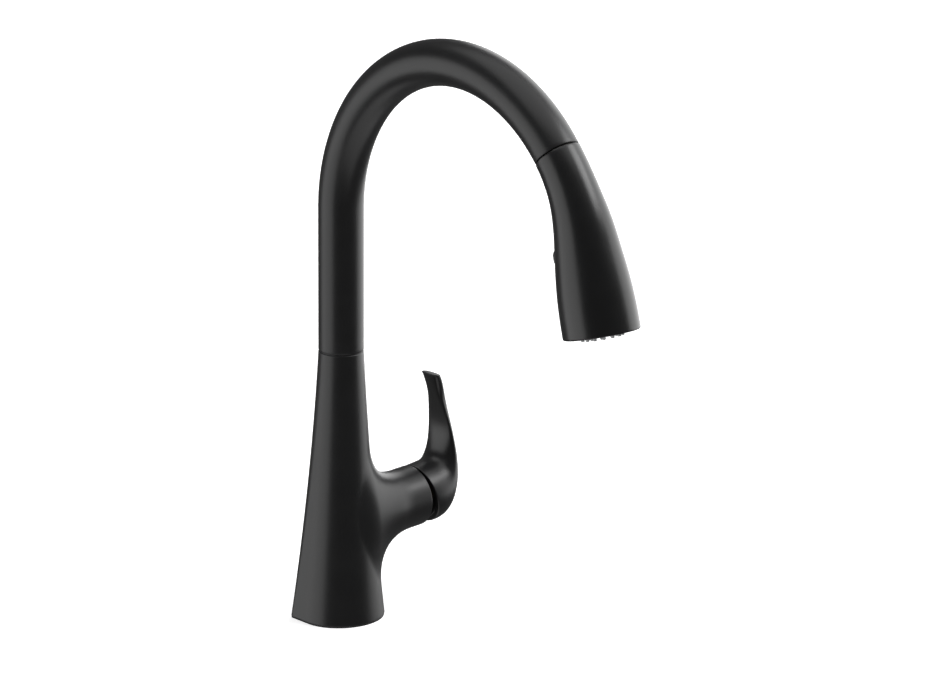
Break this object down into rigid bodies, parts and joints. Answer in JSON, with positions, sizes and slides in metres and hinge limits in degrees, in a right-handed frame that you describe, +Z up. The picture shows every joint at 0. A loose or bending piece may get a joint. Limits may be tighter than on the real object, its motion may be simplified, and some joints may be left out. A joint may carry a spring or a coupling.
{
  "type": "pull down kitchen faucet",
  "caption": "Single-lever kitchen faucet with a high-arc swivel spout and a pull down spray head on a hose, with its shank, nut and water tails for a one-hole deck.",
  "frame": {"origin": "on the deck, in the underside of the base gasket, on the spout's swivel axis", "axes": "+Z up along the swivel axis, -Y towards the user along the spout, +X to the lever"},
  "size_m": [0.1185, 0.2836, 0.5242],
  "materials": {
    "black_coat_body": "satin matte black on brass",
    "black_coat_spout": "satin matte black on brass",
    "black_coat_lever": "satin matte black on zinc",
    "black_coat_head": "satin matte black on moulded plastic",
    "black_button": "satin matte black",
    "black_plastic": "moulded, fine texture",
    "white_plastic": "moulded",
    "black_rubber": "moulded",
    "grey_silicone": "soft, light grey",
    "brass": "machined",
    "steel": "stainless, brushed",
    "magnet": "nickel plated",
    "ceramic": "ground alumina ceramic",
    "hose_braid": "black nylon braid on a rubber core"
  },
  "bodies": {
    "body": {"body_shell": "black_coat_body", "deck_gasket": "black_rubber", "mounting_shank": "brass", "clamp_seal": "black_rubber", "clamp_washer": "steel", "mounting_nut": "brass", "nut_screws": "steel", "cold_tail": "steel", "outlet_tail": "steel", "hot_tail": "steel", "valve_manifold": "brass", "cartridge_housing": "white_plastic", "cartridge_seal": "black_rubber", "fixed_disc": "ceramic", "cartridge_nut": "brass", "dome_collar": "black_plastic", "lower_bush": "white_plastic", "upper_bush": "white_plastic", "glide_ring": "black_plastic"},
    "valve_rotor": {"rotor_sleeve": "black_plastic", "moving_disc": "ceramic", "pivot_pin": "steel"},
    "lever": {"stem": "brass", "handle_lever": "black_coat_lever", "lever_set_screw": "steel", "lever_plug": "black_plastic"},
    "spout": {"spout_tube": "black_coat_spout", "swivel_sleeve": "brass", "swivel_clip": "steel", "swivel_o_rings": "black_rubber", "dock_collar": "black_plastic", "dock_magnet": "magnet", "pull_hose": "hose_braid", "hose_coupling": "brass"},
    "hose_end": {"hose_ferrule": "steel", "hose_nut": "brass"},
    "spray_head": {"head_shell": "black_coat_head", "head_core": "black_plastic", "check_valve": "white_plastic", "spray_face": "black_plastic", "spray_nozzles": "grey_silicone", "aerator": "white_plastic", "face_ring": "black_plastic"},
    "button": {"spray_button": "black_button", "button_spindle": "black_plastic", "button_spring": "steel"}
  },
  "joints": [
    {"name": "spout_swivel", "type": "hinge", "parent": "body", "child": "spout", "pos_m": [0, 0, 0], "axis": [0, 0, 1], "continuous": true},
    {"name": "head_pull", "type": "slide", "parent": "spout", "child": "hose_end", "axis": [0, -0.6494, -0.7604], "range_m": [0, 0.25]},
    {"name": "head_turn", "type": "hinge", "parent": "hose_end", "child": "spray_head", "pos_m": [0, -0.19417, 0.33923], "axis": [0, -0.6494, -0.7604], "continuous": true},
    {"name": "button_press", "type": "slide", "parent": "spray_head", "child": "button", "axis": [0, -0.9646, 0.2639], "range_m": [0, 0.0018], "stiffness_N_per_m": 900, "springref_m": -0.001, "deforming": ["button_spring"]},
    {"name": "lever_turn", "type": "hinge", "parent": "body", "child": "valve_rotor", "pos_m": [0, 0, 0.0636], "axis": [0.9984, 0, 0.0558], "range_deg": [-45, 45]},
    {"name": "lever_lift", "type": "hinge", "parent": "valve_rotor", "child": "lever", "pos_m": [0.04892, 0, 0.06634], "axis": [0, 1, 0], "range_deg": [0, 18]}
  ]
}
